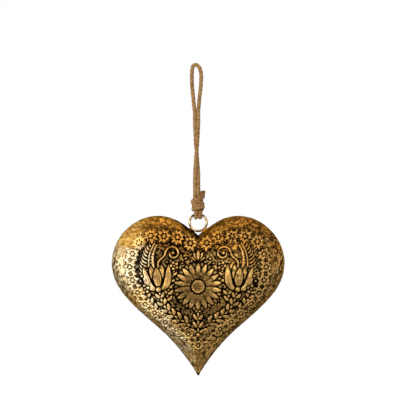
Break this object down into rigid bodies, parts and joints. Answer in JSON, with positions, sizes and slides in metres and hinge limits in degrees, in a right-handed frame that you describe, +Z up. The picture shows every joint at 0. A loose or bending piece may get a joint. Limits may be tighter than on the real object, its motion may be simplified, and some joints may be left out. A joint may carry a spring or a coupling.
{
  "type": "hanging heart ornament",
  "caption": "Hollow pressed-metal heart with an embossed face, hung by a wire ring soldered in its notch from a knotted jute cord with a loop for a hook.",
  "frame": {"origin": "the point inside the top of the cord's loop where a hook bears", "axes": "+Z up along the hanging line, +X to the right of a viewer facing the embossed front, which faces -Y"},
  "size_m": [0.1728, 0.054, 0.313],
  "materials": {
    "patinated_shell": "satin",
    "dark_solder": "matte",
    "ring_wire": "satin",
    "jute": "matte"
  },
  "bodies": {
    "hanger": {"hanging_loop": "jute"},
    "knot": {"cord_neck": "jute", "cord_knot": "jute", "cord_tail": "jute"},
    "bight": {"cord_bight": "jute"},
    "heart": {"front_shell": "patinated_shell", "back_shell": "patinated_shell", "seam_solder": "dark_solder", "ring_solder": "dark_solder", "hanging_ring": "ring_wire"}
  },
  "joints": [
    {"name": "cord_twist", "type": "hinge", "parent": "hanger", "child": "knot", "pos_m": [0, 0, -0.1205], "axis": [0, 0, 1], "range_deg": [-180, 180], "stiffness_Nm_per_rad": 0.002},
    {"name": "ring_swing", "type": "hinge", "parent": "knot", "child": "bight", "pos_m": [0, 0, -0.14395], "axis": [1, 0, 0], "range_deg": [-70, 70]},
    {"name": "heart_swing", "type": "hinge", "parent": "bight", "child": "heart", "pos_m": [0, 0, -0.1525], "axis": [0, 1, 0], "range_deg": [-50, 50]}
  ]
}
